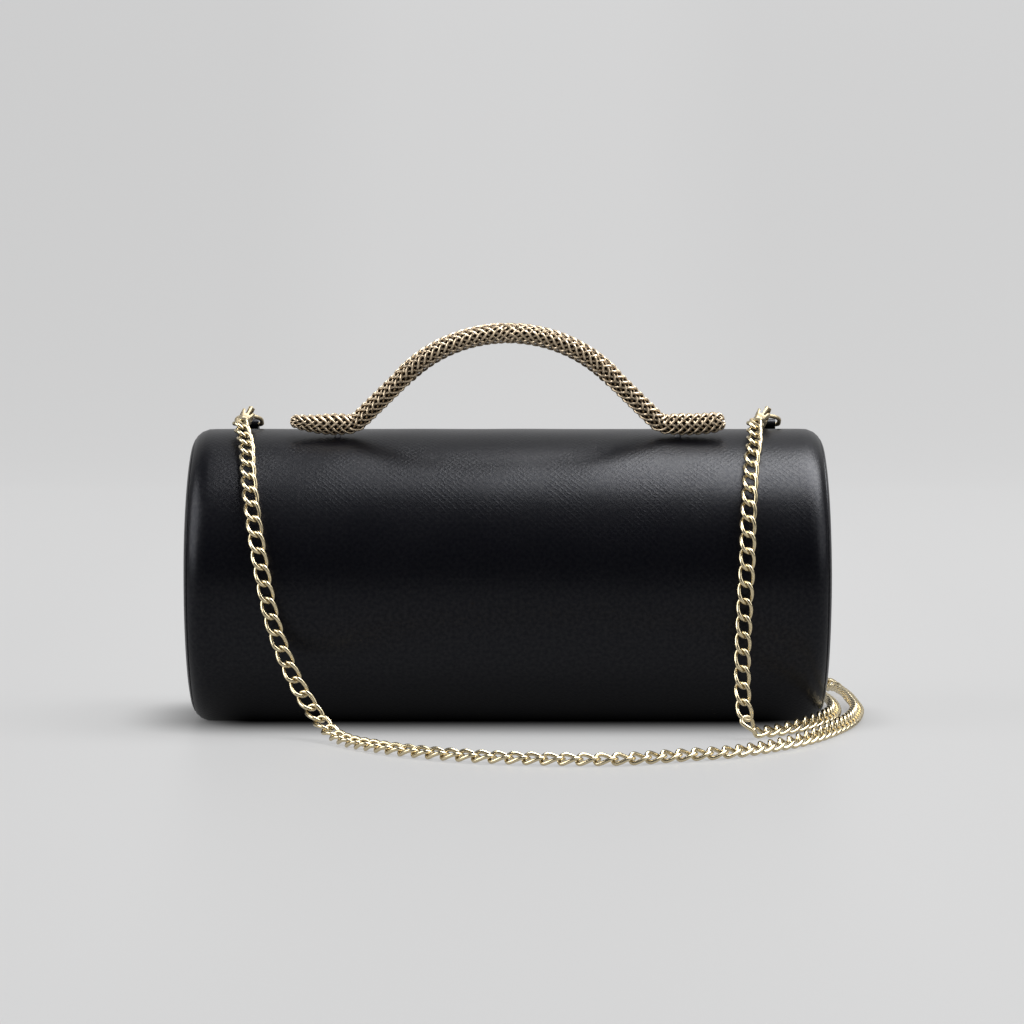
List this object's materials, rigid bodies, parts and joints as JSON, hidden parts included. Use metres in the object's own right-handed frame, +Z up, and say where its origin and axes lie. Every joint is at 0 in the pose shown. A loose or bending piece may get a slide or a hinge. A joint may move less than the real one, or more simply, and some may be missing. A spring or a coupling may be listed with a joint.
{
  "type": "clutch bag",
  "caption": "Barrel-shaped hard clutch bag with an arched woven metal handle, a zip behind the top line, end tabs with D-rings and a clip-on curb chain strap.",
  "frame": {"origin": "centre of the flattened base, at the height of the surface that the bag stands on", "axes": "+X along the barrel towards the end where the closed zip's slider lies, -Y towards the front, +Z up"},
  "size_m": [0.2291, 0.2163, 0.135],
  "materials": {
    "leather": "black leather with a fine diagonal crosshatch grain, semi-gloss",
    "board": "raw fibre stiffening board",
    "lining": "twill lining, matt",
    "tape": "woven zip tape, matt",
    "gold": "pale gold plate, polished",
    "chain": "pale gold plate, polished",
    "mesh": "woven champagne gold flat wire, bright",
    "steel": "plain steel"
  },
  "bodies": {
    "root": {"main_panel": "leather", "left_end_panel": "leather", "right_end_panel": "leather", "left_gusset": "leather", "right_gusset": "leather", "left_tab": "leather", "right_tab": "leather", "shell_board": "board", "left_end_board": "board", "right_end_board": "board", "left_gusset_board": "board", "right_gusset_board": "board", "lining": "lining", "left_end_lining": "lining", "right_end_lining": "lining", "left_end_tape": "tape", "right_end_tape": "tape", "left_zip_end": "gold", "right_zip_end": "gold", "handle_sleeve": "mesh", "handle_core": "steel", "left_handle_screw": "steel", "right_handle_screw": "steel", "left_handle_washer": "steel", "right_handle_washer": "steel", "strap_chain": "chain", "left_clasp": "gold", "right_clasp": "gold", "left_lever_pin": "steel", "right_lever_pin": "steel", "left_jump_ring": "gold", "right_jump_ring": "gold"},
    "front_lip": {"front_lip": "leather", "front_zip_tape": "tape", "front_tooth_row": "gold"},
    "back_lip": {"back_lip": "leather", "back_zip_tape": "tape", "back_tooth_row": "gold"},
    "slider": {"zip_slider": "gold"},
    "pull": {"zip_pull": "gold"},
    "left_d_ring": {"left_d_ring": "gold"},
    "right_d_ring": {"right_d_ring": "gold"},
    "left_lever": {"left_lever": "gold"},
    "right_lever": {"right_lever": "gold"}
  },
  "joints": [
    {"name": "front_lip_fold", "type": "hinge", "parent": "root", "child": "front_lip", "pos_m": [0, 0.00593, 0.09679], "axis": [-1, 0, 0], "range_deg": [0, 85]},
    {"name": "back_lip_fold", "type": "hinge", "parent": "root", "child": "back_lip", "pos_m": [0, 0.03379, 0.0835], "axis": [1, 0, 0], "range_deg": [0, 85]},
    {"name": "zip_slide", "type": "slide", "parent": "root", "child": "slider", "axis": [-1, 0, 0], "range_m": [0, 0.1584]},
    {"name": "pull_flip", "type": "hinge", "parent": "slider", "child": "pull", "pos_m": [0.0792, 0.02234, 0.09534], "axis": [0, 0.9026, -0.4305], "range_deg": [0, 174]},
    {"name": "left_ring_swing", "type": "hinge", "parent": "root", "child": "left_d_ring", "pos_m": [-0.0887, 0.01162, 0.09955], "axis": [1, 0, 0], "range_deg": [-2, 2]},
    {"name": "right_ring_swing", "type": "hinge", "parent": "root", "child": "right_d_ring", "pos_m": [0.0887, 0.01162, 0.09955], "axis": [1, 0, 0], "range_deg": [-2, 2]},
    {"name": "left_lever_press", "type": "hinge", "parent": "root", "child": "left_lever", "pos_m": [-0.08883, -0.00468, 0.10267], "axis": [-0.8817, -0.0072, 0.4717], "range_deg": [0, 18], "stiffness_Nm_per_rad": 0.00005, "springref_deg": -20.05},
    {"name": "right_lever_press", "type": "hinge", "parent": "root", "child": "right_lever", "pos_m": [0.08601, -0.00441, 0.10266], "axis": [-0.8794, 0.17, 0.4447], "range_deg": [0, 18], "stiffness_Nm_per_rad": 0.00005, "springref_deg": -20.05}
  ]
}
